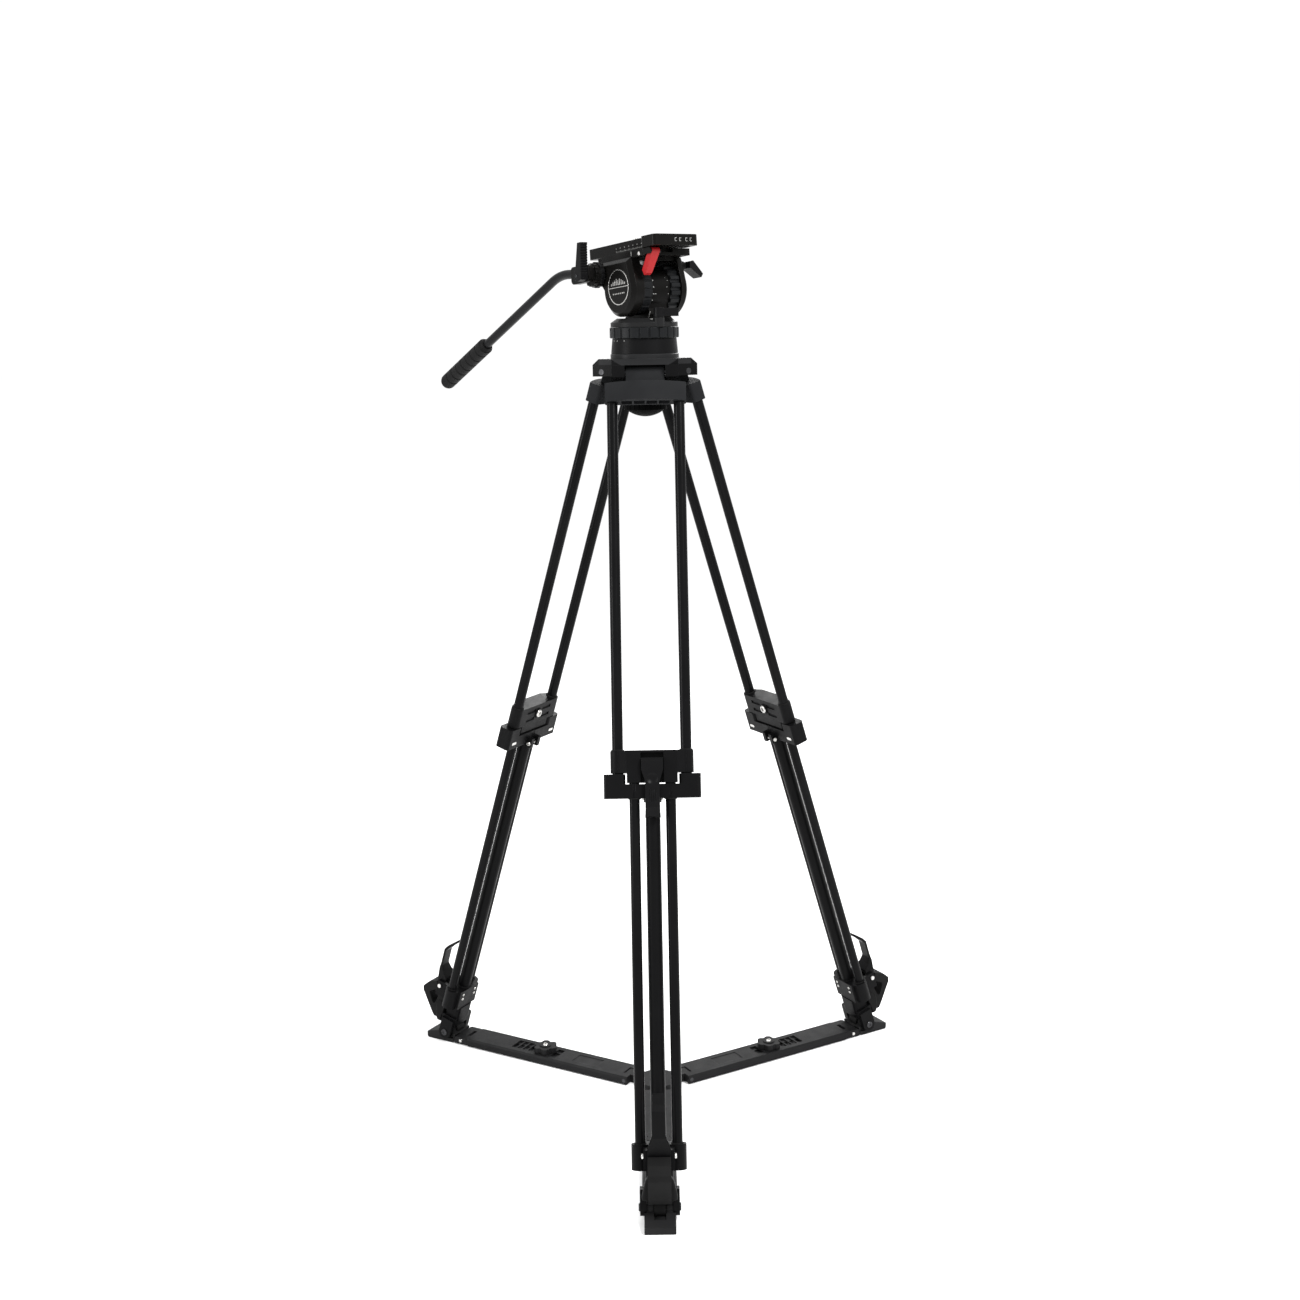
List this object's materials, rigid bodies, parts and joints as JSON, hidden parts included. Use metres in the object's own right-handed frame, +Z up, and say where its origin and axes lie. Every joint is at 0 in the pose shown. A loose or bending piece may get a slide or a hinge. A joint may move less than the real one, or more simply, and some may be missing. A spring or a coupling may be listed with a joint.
{
  "type": "video tripod with fluid head",
  "caption": "Twin-tube telescopic video tripod with floor spreader, bowl clamp and a fluid pan and tilt head with sliding camera plate and pan bar.",
  "frame": {"origin": "on the tripod's upright axis where the spreader hub rests on the floor", "axes": "+Z up along the axis, the front leg points to -Y, the head faces 54 degrees clockwise from +X"},
  "size_m": [0.7548, 0.7664, 1.2647],
  "materials": {
    "black_casting": "fine-textured black powder coat",
    "grey_casting": "dark grey hammered powder coat",
    "anodised_tube": "satin black anodised",
    "black_plastic": "moulded glass-filled nylon",
    "rubber": "matte rubber",
    "steel": "brushed stainless",
    "red_plastic": "satin red moulding"
  },
  "bodies": {
    "crown": {"crown": "black_casting", "leg_pivot_pins": "steel", "half_ball_base": "black_casting"},
    "front_upper": {"front_top_casting": "grey_casting", "front_upper_tubes": "anodised_tube", "front_collar": "black_casting"},
    "front_middle": {"front_mid_slider": "black_casting", "front_middle_tubes": "anodised_tube", "front_lower_bracket": "black_casting"},
    "front_inner": {"front_inner_leg": "black_casting"},
    "front_mid_lever": {"front_mid_lever": "black_plastic"},
    "front_lower_lever": {"front_lower_lever": "black_plastic"},
    "front_foot_pad": {"front_foot_pad": "rubber"},
    "front_arm_slider": {"front_arm_slider": "black_casting"},
    "front_arm_knob": {"front_arm_knob": "black_plastic"},
    "right_upper": {"right_top_casting": "grey_casting", "right_upper_tubes": "anodised_tube", "right_collar": "black_casting"},
    "right_middle": {"right_mid_slider": "black_casting", "right_middle_tubes": "anodised_tube", "right_lower_bracket": "black_casting"},
    "right_inner": {"right_inner_leg": "black_casting"},
    "right_mid_lever": {"right_mid_lever": "black_plastic"},
    "right_lower_lever": {"right_lower_lever": "black_plastic"},
    "right_foot_pad": {"right_foot_pad": "rubber"},
    "right_arm_slider": {"right_arm_slider": "black_casting"},
    "right_arm_knob": {"right_arm_knob": "black_plastic"},
    "left_upper": {"left_top_casting": "grey_casting", "left_upper_tubes": "anodised_tube", "left_collar": "black_casting"},
    "left_middle": {"left_mid_slider": "black_casting", "left_middle_tubes": "anodised_tube", "left_lower_bracket": "black_casting"},
    "left_inner": {"left_inner_leg": "black_casting"},
    "left_mid_lever": {"left_mid_lever": "black_plastic"},
    "left_lower_lever": {"left_lower_lever": "black_plastic"},
    "left_foot_pad": {"left_foot_pad": "rubber"},
    "left_arm_slider": {"left_arm_slider": "black_casting"},
    "left_arm_knob": {"left_arm_knob": "black_plastic"},
    "spreader": {"spreader_hub": "black_plastic", "hub_pins": "steel", "arm_sleeves": "black_plastic"},
    "pan_body": {"head_body": "black_casting"},
    "pan_drag": {"pan_drag_ring": "black_plastic"},
    "pan_lock": {"pan_lock_lever": "black_plastic"},
    "tilt_drag": {"tilt_drag_ring": "black_plastic"},
    "counterbalance": {"counterbalance_ring": "black_plastic"},
    "tilt_body": {"tilt_platform": "black_casting", "tilt_axle": "steel", "badge_cover": "black_casting", "plain_cover": "black_casting"},
    "tilt_lock": {"tilt_lock_lever": "black_plastic"},
    "plate": {"sliding_plate": "black_casting"},
    "screw": {"camera_screw": "steel"},
    "plate_lock": {"plate_lock_lever": "red_plastic"},
    "handle": {"handle_clamp": "black_casting", "pan_bar": "anodised_tube", "handle_grip": "rubber"},
    "wing": {"clamp_wing": "black_plastic"},
    "bowl_clamp": {"bowl_knob": "black_plastic"}
  },
  "joints": [
    {"name": "front_leg_spread", "type": "hinge", "parent": "crown", "child": "front_upper", "pos_m": [0, -0.044, 1.081], "axis": [-1, 0, 0], "range_deg": [0, 5.4]},
    {"name": "front_middle_slide", "type": "slide", "parent": "front_upper", "child": "front_middle", "axis": [0, -0.3057, -0.9521], "range_m": [-0.44, 0]},
    {"name": "front_inner_slide", "type": "slide", "parent": "front_middle", "child": "front_inner", "axis": [0, -0.3057, -0.9521], "range_m": [0, 0.4]},
    {"name": "front_pad_tilt", "type": "hinge", "parent": "front_inner", "child": "front_foot_pad", "pos_m": [0, -0.38529, 0.018], "axis": [-1, 0, 0], "range_deg": [-5.4, 0]},
    {"name": "front_mid_lever_swing", "type": "hinge", "parent": "front_middle", "child": "front_mid_lever", "pos_m": [0, -0.2188, 0.57417], "axis": [-1, 0, 0], "range_deg": [0, 70]},
    {"name": "front_lower_lever_swing", "type": "hinge", "parent": "front_middle", "child": "front_lower_lever", "pos_m": [0, -0.39422, 0.09485], "axis": [1, 0, 0], "range_deg": [0, 55]},
    {"name": "front_arm_slide", "type": "slide", "parent": "spreader", "child": "front_arm_slider", "axis": [0, -1, 0], "range_m": [0, 0.09872]},
    {"name": "front_arm_knob_turn", "type": "hinge", "parent": "spreader", "child": "front_arm_knob", "pos_m": [0, -0.205, 0.02], "axis": [0, 0, 1], "continuous": true},
    {"name": "right_leg_spread", "type": "hinge", "parent": "crown", "child": "right_upper", "pos_m": [0.0381, 0.022, 1.081], "axis": [0.5, -0.866, 0], "range_deg": [0, 5.4]},
    {"name": "right_middle_slide", "type": "slide", "parent": "right_upper", "child": "right_middle", "axis": [0.2647, 0.1528, -0.9521], "range_m": [-0.44, 0]},
    {"name": "right_inner_slide", "type": "slide", "parent": "right_middle", "child": "right_inner", "axis": [0.2647, 0.1528, -0.9521], "range_m": [0, 0.4]},
    {"name": "right_pad_tilt", "type": "hinge", "parent": "right_inner", "child": "right_foot_pad", "pos_m": [0.33367, 0.19265, 0.018], "axis": [0.5, -0.866, 0], "range_deg": [-5.4, 0]},
    {"name": "right_mid_lever_swing", "type": "hinge", "parent": "right_middle", "child": "right_mid_lever", "pos_m": [0.18949, 0.1094, 0.57417], "axis": [0.5, -0.866, 0], "range_deg": [0, 70]},
    {"name": "right_lower_lever_swing", "type": "hinge", "parent": "right_middle", "child": "right_lower_lever", "pos_m": [0.34141, 0.19711, 0.09485], "axis": [-0.5, 0.866, 0], "range_deg": [0, 55]},
    {"name": "right_arm_slide", "type": "slide", "parent": "spreader", "child": "right_arm_slider", "axis": [0.866, 0.5, 0], "range_m": [0, 0.09872]},
    {"name": "right_arm_knob_turn", "type": "hinge", "parent": "spreader", "child": "right_arm_knob", "pos_m": [0.17753, 0.1025, 0.02], "axis": [0, 0, 1], "continuous": true},
    {"name": "left_leg_spread", "type": "hinge", "parent": "crown", "child": "left_upper", "pos_m": [-0.0381, 0.022, 1.081], "axis": [0.5, 0.866, 0], "range_deg": [0, 5.4]},
    {"name": "left_middle_slide", "type": "slide", "parent": "left_upper", "child": "left_middle", "axis": [-0.2647, 0.1528, -0.9521], "range_m": [-0.44, 0]},
    {"name": "left_inner_slide", "type": "slide", "parent": "left_middle", "child": "left_inner", "axis": [-0.2647, 0.1528, -0.9521], "range_m": [0, 0.4]},
    {"name": "left_pad_tilt", "type": "hinge", "parent": "left_inner", "child": "left_foot_pad", "pos_m": [-0.33367, 0.19265, 0.018], "axis": [0.5, 0.866, 0], "range_deg": [-5.4, 0]},
    {"name": "left_mid_lever_swing", "type": "hinge", "parent": "left_middle", "child": "left_mid_lever", "pos_m": [-0.18949, 0.1094, 0.57417], "axis": [0.5, 0.866, 0], "range_deg": [0, 70]},
    {"name": "left_lower_lever_swing", "type": "hinge", "parent": "left_middle", "child": "left_lower_lever", "pos_m": [-0.34141, 0.19711, 0.09485], "axis": [-0.5, -0.866, 0], "range_deg": [0, 55]},
    {"name": "left_arm_slide", "type": "slide", "parent": "spreader", "child": "left_arm_slider", "axis": [-0.866, 0.5, 0], "range_m": [0, 0.09872]},
    {"name": "left_arm_knob_turn", "type": "hinge", "parent": "spreader", "child": "left_arm_knob", "pos_m": [-0.17753, 0.1025, 0.02], "axis": [0, 0, 1], "continuous": true},
    {"name": "spreader_lift", "type": "slide", "parent": "crown", "child": "spreader", "axis": [0, 0, 1], "range_m": [0, 0.03704]},
    {"name": "pan", "type": "hinge", "parent": "crown", "child": "pan_body", "pos_m": [0, 0, 1.148], "axis": [0, 0, 1], "continuous": true},
    {"name": "pan_drag_turn", "type": "hinge", "parent": "crown", "child": "pan_drag", "pos_m": [0, 0, 1.134], "axis": [0, 0, 1], "range_deg": [0, 120]},
    {"name": "bowl_knob_turn", "type": "hinge", "parent": "crown", "child": "bowl_clamp", "pos_m": [0, 0, 1.027], "axis": [0, 0, 1], "continuous": true},
    {"name": "pan_lock_swing", "type": "hinge", "parent": "pan_body", "child": "pan_lock", "pos_m": [0.02042, -0.03831, 1.161], "axis": [0, 0, 1], "range_deg": [0, 35]},
    {"name": "tilt", "type": "hinge", "parent": "pan_body", "child": "tilt_body", "pos_m": [0, 0, 1.193], "axis": [-0.809, -0.5878, 0], "range_deg": [-60, 40]},
    {"name": "tilt_drag_turn", "type": "hinge", "parent": "pan_body", "child": "tilt_drag", "pos_m": [0, 0, 1.193], "axis": [0.809, 0.5878, 0], "range_deg": [0, 150]},
    {"name": "counterbalance_turn", "type": "hinge", "parent": "pan_body", "child": "counterbalance", "pos_m": [0, 0, 1.193], "axis": [0.809, 0.5878, 0], "range_deg": [0, 150]},
    {"name": "tilt_lock_swing", "type": "hinge", "parent": "tilt_body", "child": "tilt_lock", "pos_m": [0.05775, 0.01919, 1.22465], "axis": [0.809, 0.5878, 0], "range_deg": [0, 60]},
    {"name": "plate_slide", "type": "slide", "parent": "tilt_body", "child": "plate", "axis": [0.5857, -0.8062, 0.0837], "range_m": [-0.045, 0.04]},
    {"name": "camera_screw_turn", "type": "hinge", "parent": "plate", "child": "screw", "pos_m": [-0.00896, 0.01233, 1.25494], "axis": [-0.0492, 0.0677, 0.9965], "continuous": true},
    {"name": "plate_lock_swing", "type": "hinge", "parent": "tilt_body", "child": "plate_lock", "pos_m": [0.01543, -0.06292, 1.2437], "axis": [-0.809, -0.5878, 0], "range_deg": [0, 50]},
    {"name": "handle_angle", "type": "hinge", "parent": "tilt_body", "child": "handle", "pos_m": [-0.07171, 0.00342, 1.21402], "axis": [0.809, 0.5878, 0], "range_deg": [0, 60]},
    {"name": "clamp_wing_turn", "type": "hinge", "parent": "handle", "child": "wing", "pos_m": [-0.08627, -0.00716, 1.21402], "axis": [0.809, 0.5878, 0], "range_deg": [0, 90]}
  ],
  "couplings": [
    {"joint": "right_leg_spread", "follows": "front_leg_spread", "ratio": 1},
    {"joint": "left_leg_spread", "follows": "front_leg_spread", "ratio": 1},
    {"joint": "front_pad_tilt", "follows": "front_leg_spread", "ratio": -1},
    {"joint": "front_arm_slide", "follows": "front_leg_spread", "m_per_rad": 1.0454},
    {"joint": "right_pad_tilt", "follows": "front_leg_spread", "ratio": -1},
    {"joint": "right_arm_slide", "follows": "front_leg_spread", "m_per_rad": 1.0454},
    {"joint": "left_pad_tilt", "follows": "front_leg_spread", "ratio": -1},
    {"joint": "left_arm_slide", "follows": "front_leg_spread", "m_per_rad": 1.0454},
    {"joint": "spreader_lift", "follows": "front_leg_spread", "m_per_rad": 0.39084}
  ]
}
